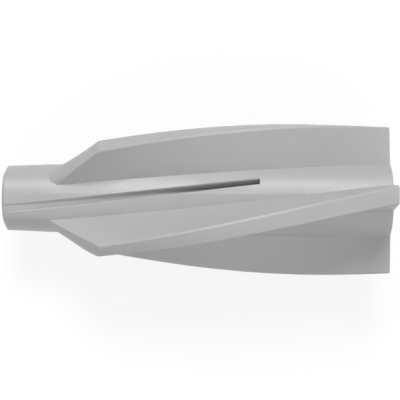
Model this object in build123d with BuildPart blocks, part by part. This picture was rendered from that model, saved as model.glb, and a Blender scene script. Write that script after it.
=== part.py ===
"""Nylon wall plug for aerated concrete, moulded in one piece.

A tapered hollow core carries four left-handed helical fins.  Each fin starts in a
sloping bow behind a plain nose and ends flush with the rear face, where the screw
goes in.  One helical slot runs back from the tip, between two fins.  It is shallow
at the nose and deepens until it opens into the bore, so that the sleeve can spread
behind a nose that stays together.

The plug lies as it comes to rest on a surface, on two of its fins and with its
nose a little down.  Its axis is close to X, with the tip towards -X and +Z up.
The origin is the centre of the rear face, at the mouth of the bore.  Stations
along the plug are measured from the tip, angles about the axis from +Y towards +Z.
Millimetres and degrees.
"""

import os
from math import radians, sqrt, tan

from build123d import *

# Overall length of the plug, and how far its nose dips where it lies
plug_length = 55.0
rest_tilt = 3.3

# Core: a slim nose, then a taper to the rear face
tip_diameter = 9.2
tip_bevel_length = 0.45
tip_bevel_height = 0.8
nose_diameter = 9.7
nose_length = 6.5
rear_diameter = 10.9

# Screw bore, with a cone at its mouth that leads the screw in
bore_diameter = 5.6
mouth_diameter = 7.0
mouth_depth = 0.8

# Fins: how far they turn over the plug's length, and the angle of the first one at the rear
fin_count = 4
fin_turn = 66.0
rear_fin_angle = 94.0

# Fins: diameters over the crests, and widths across the crest and on the core
crest_diameter_front = 20.0
crest_diameter_middle = 21.8
crest_diameter_rear = 21.0
crest_width_front = 2.2
crest_width_rear = 2.6
root_width_front = 2.35
root_width_rear = 3.65

# Bevels along the crests of the fins and round the rear face
crest_bevel = 0.2
rear_bevel = 0.1

# Bow at the front of each fin: round in plan at its foot, flatter at its waist and
# straight at its head
bow_foot_station = 6.5
bow_foot_radius = 1.4
bow_waist_radius = 8.0
bow_waist_width = 3.2
bow_waist_bulge = 0.8
bow_head_width = 4.0
bow_rise_angle = 41.2

# Slot: it lies between the first fin and the one before it, and its floor falls gently
# as far as its knee, then steeply until it opens into the bore
slot_tip_offset = 42.2
slot_end_offset = 48.4
slot_width_tip = 0.95
slot_width_end = 0.8
slot_draft = 4.0
slot_tip_depth = 0.1
slot_knee_station = 25.0
slot_knee_depth = 0.95
slot_opening_station = 31.0
slot_end_station = 36.3
slot_bevel = 0.15

# How far a shape runs past the surface that it meets or cuts
overrun = 1.0

# Number of steps between the sections that the twisted shapes pass through, so many that
# the straight strips of a fin stay within about 0.01 mm of its curve
fin_steps = 12
slot_steps = 8

bore_radius = bore_diameter / 2
fin_spacing = 360.0 / fin_count
fin_start_station = bow_foot_station - overrun
fin_reach = max(crest_diameter_front, crest_diameter_middle, crest_diameter_rear) / 2


def blend(start, end, share):
    """Return the value that lies the given share of the way from start to end."""
    return start + (end - start) * share


def core_radius(station):
    """Return the core's outside radius at a station, on its nose or its taper."""
    if station < nose_length:
        return blend(tip_diameter, nose_diameter, station / nose_length) / 2
    share = (station - nose_length) / (plug_length - nose_length)
    return blend(nose_diameter, rear_diameter, share) / 2


def crest_radius(station):
    """Return the radius over the fins' crests at a station, on their bulging line."""
    share = (station - fin_start_station) / (plug_length - fin_start_station)
    straight = blend(crest_diameter_front, crest_diameter_rear, share) / 2
    bulge = (crest_diameter_middle - blend(crest_diameter_front, crest_diameter_rear, 0.5)) / 2
    return straight + 4 * bulge * share * (1 - share)


def fin_angle(station):
    """Return the angle of the first fin's middle at a station."""
    return rear_fin_angle + fin_turn * (plug_length - station) / plug_length


def slot_angle(station):
    """Return the angle of the slot's middle at a station."""
    offset = blend(slot_tip_offset, slot_end_offset, station / slot_end_station)
    return fin_angle(station) - offset


def slot_depth(station):
    """Return the depth of the slot's floor below the core's surface at a station."""
    if station < slot_knee_station:
        return blend(slot_tip_depth, slot_knee_depth, station / slot_knee_station)
    wall = core_radius(slot_opening_station) - bore_radius
    share = (station - slot_knee_station) / (slot_opening_station - slot_knee_station)
    return blend(slot_knee_depth, wall, share)


def cross_plane(station, angle):
    """Return the plane square to the axis whose own X points outwards at the angle."""
    outwards = Vector(0, 1, 0).rotate(Axis.X, angle)
    return Plane(origin=(station - plug_length, 0, 0), x_dir=outwards, z_dir=(1, 0, 0))


def tangent_plane(height, angle):
    """Return the plane that faces outwards at the angle, at a height above the axis.

    Its own X runs along the plug from the tip, and its own Y across the fin.
    """
    outwards = Vector(0, 1, 0).rotate(Axis.X, angle)
    origin = Vector(-plug_length, 0, 0) + outwards * height
    return Plane(origin=origin, x_dir=(1, 0, 0), z_dir=outwards)


def fin_section(station, inset):
    """Return the first fin's section at a station, its flanks and crest moved in by the inset."""
    share = (station - fin_start_station) / (plug_length - fin_start_station)
    crest_half = blend(crest_width_front, crest_width_rear, share) / 2 - inset
    root_half = blend(root_width_front, root_width_rear, share) / 2 - inset
    top_radius = crest_radius(station) - inset
    corner_height = sqrt(top_radius**2 - crest_half**2)
    base_height = (bore_radius + core_radius(station)) / 2
    flank_slope = (root_half - crest_half) / (corner_height - core_radius(station))
    base_half = crest_half + flank_slope * (corner_height - base_height)
    with BuildSketch(cross_plane(station, fin_angle(station))) as section:
        with BuildLine():
            crest = ThreePointArc(
                (corner_height, -crest_half),
                (top_radius, 0),
                (corner_height, crest_half),
            )
            Polyline(crest @ 1, (base_height, base_half), (base_height, -base_half), crest @ 0)
        make_face()
        chamfer(vertices().sort_by(Axis.X)[-2:], crest_bevel)
    return section.sketch


def bow_shoulder(height):
    """Return the station where the bow's side has risen to a height above the axis."""
    foot = bow_foot_station + bow_foot_radius
    return foot + (height - core_radius(bow_foot_station)) / tan(radians(bow_rise_angle))


def draw_bow_cutter(height, width, bulge):
    """Draw the bow cutter's outline at a height above the axis.

    Its rear edge, which shapes the bow, is as wide as given and bulges forward in the
    middle, or is straight where the bulge is zero.
    """
    shoulder = bow_shoulder(height)
    front = bow_foot_station - bow_foot_radius - overrun
    near_end = (shoulder, -width / 2)
    far_end = (shoulder, width / 2)
    if bulge > 0:
        ThreePointArc(near_end, (shoulder - bulge, 0), far_end)
    else:
        Line(near_end, far_end)
    Polyline(
        far_end,
        (shoulder, fin_reach),
        (front, fin_reach),
        (front, -fin_reach),
        (shoulder, -fin_reach),
        near_end,
    )


# Core: its half section, turned about the axis
with BuildPart() as core:
    with BuildSketch(Plane.XZ):
        with BuildLine():
            Polyline(
                (-plug_length, bore_radius),
                (-plug_length, tip_diameter / 2 - tip_bevel_height),
                (tip_bevel_length - plug_length, core_radius(tip_bevel_length)),
                (nose_length - plug_length, nose_diameter / 2),
                (-rear_bevel, core_radius(plug_length - rear_bevel)),
                (0, rear_diameter / 2 - rear_bevel),
                (0, mouth_diameter / 2),
                (-mouth_depth, bore_radius),
                close=True,
            )
        make_face()
    revolve(axis=Axis.X)

# Bow cutter: what stands in front of the first fin's sloping bow
with BuildPart() as bow_cutter:
    foot_height = core_radius(bow_foot_station) - bow_foot_radius / 2
    head_height = fin_reach + overrun
    bow_angle = fin_angle((bow_foot_station + bow_shoulder(head_height)) / 2)
    foot = (foot_height, 2 * bow_foot_radius, bow_foot_radius)
    waist = (bow_waist_radius, bow_waist_width, bow_waist_bulge)
    head = (head_height, bow_head_width, 0)
    for stretch in ((foot, waist), (waist, head)):
        for height, width, bulge in stretch:
            with BuildSketch(tangent_plane(height, bow_angle)):
                with BuildLine():
                    draw_bow_cutter(height, width, bulge)
                make_face()
        loft(ruled=True)

# First fin: strips that are straight between sections turned along the axis, a bevelled
# rear end, and the bow cut away
with BuildPart() as fin:
    for step in range(fin_steps + 1):
        add(fin_section(blend(fin_start_station, plug_length - rear_bevel, step / fin_steps), 0))
    loft(ruled=True)
    add(fin_section(plug_length - rear_bevel, 0))
    add(fin_section(plug_length, rear_bevel))
    loft(ruled=True)
    add(bow_cutter.part, mode=Mode.SUBTRACT)

# Slot cutter: a blade that turns with the fins, with a flared back for the slot's bevel
with BuildPart() as slot_cutter:
    for step in range(slot_steps + 1):
        station = blend(-overrun, slot_end_station, step / slot_steps)
        core_height = core_radius(station)
        floor_height = core_height - slot_depth(station)
        lip_height = core_height - slot_bevel
        lip_half = blend(slot_width_tip, slot_width_end, station / slot_end_station) / 2
        floor_half = lip_half - slot_depth(station) * tan(radians(slot_draft))
        flare = slot_bevel + overrun
        with BuildSketch(cross_plane(station, slot_angle(station))):
            with BuildLine():
                Polyline(
                    (floor_height, -floor_half),
                    (lip_height, -lip_half),
                    (lip_height + flare, -lip_half - flare),
                    (lip_height + flare, lip_half + flare),
                    (lip_height, lip_half),
                    (floor_height, floor_half),
                    close=True,
                )
            make_face()
    loft()

# Sleeve: the core with all its fins and the slot
with BuildPart() as sleeve:
    add(core.part)
    for copy in range(fin_count):
        add(fin.part.rotate(Axis.X, copy * fin_spacing))
    add(slot_cutter.part, mode=Mode.SUBTRACT)

# Wall plug: the sleeve as it lies at rest
with BuildPart() as wall_plug:
    add(sleeve.part.rotate(Axis.Y, -rest_tilt))

os.makedirs("parts", exist_ok=True)
wall_plug.part.label = "wall_plug"
export_step(wall_plug.part, "parts/wall_plug.step")
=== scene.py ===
"""Looks of a nylon wall plug for aerated concrete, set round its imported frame.

The plug lies on a pale floor, its tip to the left, and the camera looks steeply down
on it.  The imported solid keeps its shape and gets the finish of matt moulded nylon.
Everything is in metres, in the frame's own axes.
"""

import logging
from dataclasses import dataclass, field
from enum import Enum
from math import radians

import bpy
from mathutils import Matrix, Vector


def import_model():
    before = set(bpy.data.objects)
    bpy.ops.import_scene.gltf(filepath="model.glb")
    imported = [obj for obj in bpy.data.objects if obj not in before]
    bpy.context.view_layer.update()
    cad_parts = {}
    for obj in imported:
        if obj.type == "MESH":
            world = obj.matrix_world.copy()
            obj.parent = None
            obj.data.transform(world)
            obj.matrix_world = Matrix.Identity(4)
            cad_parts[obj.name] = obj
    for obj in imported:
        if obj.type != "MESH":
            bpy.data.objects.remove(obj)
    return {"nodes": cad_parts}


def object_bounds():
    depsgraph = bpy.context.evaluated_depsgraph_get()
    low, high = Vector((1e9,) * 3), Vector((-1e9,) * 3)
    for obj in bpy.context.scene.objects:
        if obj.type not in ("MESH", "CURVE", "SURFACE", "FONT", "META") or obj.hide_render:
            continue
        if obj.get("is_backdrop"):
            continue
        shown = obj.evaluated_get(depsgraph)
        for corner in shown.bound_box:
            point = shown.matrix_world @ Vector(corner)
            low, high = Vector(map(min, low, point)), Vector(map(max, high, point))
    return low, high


MM = 0.001
NODE = "wall_plug"
WHITE = (1.0, 1.0, 1.0, 1.0)

log = logging.getLogger("wall_plug")


class LampRole(Enum):
    """What a lamp is there for."""

    KEY = "key"
    FILL = "fill"


def grey(level: float) -> tuple[float, float, float, float]:
    """Return the opaque grey of a level."""
    return (level, level, level, 1.0)


def background_rays(nodes: bpy.types.Nodes, links: bpy.types.NodeLinks) -> bpy.types.NodeSocket:
    """Add a switch that is 1 for the rays that show a background, and 0 for the rest.

    Args:
        nodes: The nodes of a material or of the world.
        links: Their links.

    Returns:
        The switch, on for the camera's rays and for those that metal and glass send on.
    """
    path = nodes.new("ShaderNodeLightPath")
    shown = path.outputs["Is Camera Ray"]
    for name in ("Is Glossy Ray", "Is Transmission Ray"):
        either = nodes.new("ShaderNodeMath")
        either.operation = "MAXIMUM"
        links.new(shown, either.inputs[0])
        links.new(path.outputs[name], either.inputs[1])
        shown = either.outputs["Value"]
    return shown


@dataclass(frozen=True)
class Nylon:
    """Finish of grey moulded nylon: matt, with a fine grain and faint flow marks."""

    name: str = "grey_nylon"
    color: tuple[float, float, float] = (0.45, 0.45, 0.45)
    tone_spread: float = 0.05
    cloud_size: float = 9.0 * MM
    cloud_detail: float = 3.0
    cloud_range: tuple[float, float] = (0.3, 0.7)
    grain_size: float = 0.22 * MM
    grain_detail: float = 2.0
    grain_height: float = 0.004 * MM
    roughness: float = 0.42
    roughness_spread: float = 0.05
    glow_through: float = 0.3
    glow_depth: float = 0.6 * MM
    glow_reach: tuple[float, float, float] = (1.0, 1.0, 1.0)
    ior: float = 1.53

    def build(self) -> bpy.types.Material:
        """Make the material.

        Returns:
            The material, with its pattern on object coordinates.
        """
        material = bpy.data.materials.new(self.name)
        material.use_nodes = True
        nodes = material.node_tree.nodes
        links = material.node_tree.links
        shader = nodes["Principled BSDF"]
        shader.inputs["IOR"].default_value = self.ior
        shader.inputs["Subsurface Weight"].default_value = self.glow_through
        shader.inputs["Subsurface Radius"].default_value = self.glow_reach
        shader.inputs["Subsurface Scale"].default_value = self.glow_depth
        place = nodes.new("ShaderNodeTexCoord")
        clouds = self.noise(nodes, links, place, self.cloud_size, self.cloud_detail)
        tone = nodes.new("ShaderNodeValToRGB")
        half_spread = self.tone_spread / 2
        shares = (1 - half_spread, 1 + half_spread)
        for element, position, share in zip(tone.color_ramp.elements, self.cloud_range, shares):
            element.position = position
            element.color = (*(part * share for part in self.color), 1.0)
        links.new(clouds.outputs["Fac"], tone.inputs["Fac"])
        links.new(tone.outputs["Color"], shader.inputs["Base Color"])
        gloss = nodes.new("ShaderNodeMapRange")
        gloss.inputs["To Min"].default_value = self.roughness - self.roughness_spread
        gloss.inputs["To Max"].default_value = self.roughness + self.roughness_spread
        links.new(clouds.outputs["Fac"], gloss.inputs["Value"])
        links.new(gloss.outputs["Result"], shader.inputs["Roughness"])
        grain = self.noise(nodes, links, place, self.grain_size, self.grain_detail)
        bump = nodes.new("ShaderNodeBump")
        bump.inputs["Distance"].default_value = self.grain_height
        links.new(grain.outputs["Fac"], bump.inputs["Height"])
        links.new(bump.outputs["Normal"], shader.inputs["Normal"])
        return material

    @staticmethod
    def noise(
        nodes: bpy.types.Nodes,
        links: bpy.types.NodeLinks,
        place: bpy.types.Node,
        size: float,
        detail: float,
    ) -> bpy.types.Node:
        """Add a noise pattern on object coordinates.

        Args:
            nodes: The material's nodes.
            links: The material's links.
            place: The texture coordinate node.
            size: Size of the pattern's spots, in metres.
            detail: Number of finer layers.

        Returns:
            The noise node.
        """
        noise = nodes.new("ShaderNodeTexNoise")
        noise.inputs["Scale"].default_value = 1 / size
        noise.inputs["Detail"].default_value = detail
        links.new(place.outputs["Object"], noise.inputs["Vector"])
        return noise


@dataclass(frozen=True)
class PaleFloor:
    """Finish of the floor: white where it is seen, a pale grey to the light on the plug."""

    name: str = "pale_floor"
    seen_color: float = 0.16
    seen_glow: float = 0.85
    bounce_color: float = 0.5

    def build(self) -> bpy.types.Material:
        """Make the material.

        Returns:
            The material, which keeps the plug's shadow for the camera.
        """
        material = bpy.data.materials.new(self.name)
        material.use_nodes = True
        nodes = material.node_tree.nodes
        links = material.node_tree.links
        nodes.remove(nodes["Principled BSDF"])
        bounce = nodes.new("ShaderNodeBsdfDiffuse")
        bounce.inputs["Color"].default_value = grey(self.bounce_color)
        seen = nodes.new("ShaderNodeBsdfDiffuse")
        seen.inputs["Color"].default_value = grey(self.seen_color)
        glow = nodes.new("ShaderNodeEmission")
        glow.inputs["Strength"].default_value = self.seen_glow
        pale = nodes.new("ShaderNodeAddShader")
        links.new(seen.outputs["BSDF"], pale.inputs[0])
        links.new(glow.outputs["Emission"], pale.inputs[1])
        choice = nodes.new("ShaderNodeMixShader")
        links.new(background_rays(nodes, links), choice.inputs["Fac"])
        links.new(bounce.outputs["BSDF"], choice.inputs[1])
        links.new(pale.outputs["Shader"], choice.inputs[2])
        links.new(choice.outputs["Shader"], nodes["Material Output"].inputs["Surface"])
        return material


@dataclass
class WallPlug:
    """The plug itself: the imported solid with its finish."""

    finish: Nylon = field(default_factory=Nylon)

    def dress(self, node: bpy.types.Object) -> bpy.types.Object:
        """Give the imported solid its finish.

        Args:
            node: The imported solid.

        Returns:
            The same solid.
        """
        material = self.finish.build()
        for slot in node.material_slots:
            slot.material = material
        return node


@dataclass
class Viewpoint:
    """The camera: where it looks and from where, as in the photograph."""

    aim: tuple[float, float, float] = (-27.03 * MM, -0.12 * MM, -1.58 * MM)
    azimuth: float = -113.14
    elevation: float = 81.21
    roll: float = 23.74
    distance: float = 185.4 * MM
    lens: float = 116.1
    sensor: float = 36.0
    clip_share: float = 0.1

    def build(self) -> bpy.types.Object:
        """Make the camera and look through it.

        Returns:
            The camera.
        """
        data = bpy.data.cameras.new("camera")
        data.lens = self.lens
        data.sensor_width = self.sensor
        data.clip_start = self.distance * self.clip_share
        camera = bpy.data.objects.new("camera", data)
        turn = (
            Matrix.Rotation(radians(self.azimuth + 90), 4, "Z")
            @ Matrix.Rotation(radians(90 - self.elevation), 4, "X")
            @ Matrix.Rotation(radians(self.roll), 4, "Z")
        )
        place = Vector(self.aim) + turn @ Vector((0, 0, self.distance))
        camera.matrix_world = Matrix.Translation(place) @ turn
        bpy.context.scene.collection.objects.link(camera)
        bpy.context.scene.camera = camera
        return camera


@dataclass(frozen=True)
class Lamp:
    """A soft lamp, at an angle above or below the camera's line of sight.

    Its strength is the light on a surface that faces it, its spread the angle that it
    takes up, and its lift the angle above the line of sight, both in degrees.
    """

    role: LampRole
    strength: float
    spread: float
    lift: float

    def hang(self, camera: bpy.types.Object) -> bpy.types.Object:
        """Hang the lamp.

        Args:
            camera: The camera.

        Returns:
            The lamp.
        """
        data = bpy.data.lights.new(self.role.value, "SUN")
        data.energy = self.strength
        data.angle = radians(self.spread)
        lamp = bpy.data.objects.new(self.role.value, data)
        line_of_sight = camera.matrix_world.to_3x3().to_4x4()
        lamp.matrix_world = line_of_sight @ Matrix.Rotation(radians(-self.lift), 4, "X")
        bpy.context.scene.collection.objects.link(lamp)
        return lamp


@dataclass
class Studio:
    """The floor, the lamps and the even light all round."""

    floor_size: float = 4.0
    key: Lamp = Lamp(LampRole.KEY, strength=2.05, spread=25.0, lift=47.0)
    fill: Lamp = Lamp(LampRole.FILL, strength=0.95, spread=60.0, lift=-45.0)
    ambient: float = 0.34
    floor_finish: PaleFloor = field(default_factory=PaleFloor)

    def lay_floor(self, height: float) -> bpy.types.Object:
        """Lay the floor under the plug.

        Args:
            height: Height of the plug's lowest point.

        Returns:
            The floor.
        """
        bpy.ops.object.select_all(action="DESELECT")
        bpy.ops.mesh.primitive_plane_add(size=self.floor_size, location=(0, 0, height))
        floor = bpy.context.object
        floor.name = "floor"
        floor.data.materials.append(self.floor_finish.build())
        floor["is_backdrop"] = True
        return floor

    def light_all_round(self) -> bpy.types.World:
        """Set the even light of the surroundings.

        Returns:
            The world.
        """
        world = bpy.data.worlds.new("surroundings")
        world.use_nodes = True
        nodes = world.node_tree.nodes
        links = world.node_tree.links
        light = nodes["Background"]
        light.inputs["Color"].default_value = WHITE
        light.inputs["Strength"].default_value = self.ambient
        seen = nodes.new("ShaderNodeBackground")
        seen.inputs["Color"].default_value = WHITE
        choice = nodes.new("ShaderNodeMixShader")
        links.new(background_rays(nodes, links), choice.inputs["Fac"])
        links.new(light.outputs["Background"], choice.inputs[1])
        links.new(seen.outputs["Background"], choice.inputs[2])
        links.new(choice.outputs["Shader"], nodes["World Output"].inputs["Surface"])
        bpy.context.scene.world = world
        return world


def corners() -> list[list[float]]:
    """Return the whole object's lowest and highest corner as plain lists."""
    return [list(corner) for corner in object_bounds()]


def main() -> None:
    """Load the frame, dress the plug, light it and report each piece."""
    logging.basicConfig(level=logging.INFO, format="%(name)s: %(message)s")
    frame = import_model()
    packed = corners()
    bpy.context.scene.view_settings.view_transform = "Standard"
    camera = Viewpoint().build()
    plug = WallPlug().dress(frame["nodes"][NODE])
    log.info("%s: %d faces", plug.name, len(plug.data.polygons))
    studio = Studio()
    floor = studio.lay_floor(packed[0][2])
    log.info("%s at %.4f m", floor.name, packed[0][2])
    for lamp in (studio.key, studio.fill):
        log.info("%s lamp hung", lamp.hang(camera).name)
    studio.light_all_round()


if __name__ == "__main__":
    main()
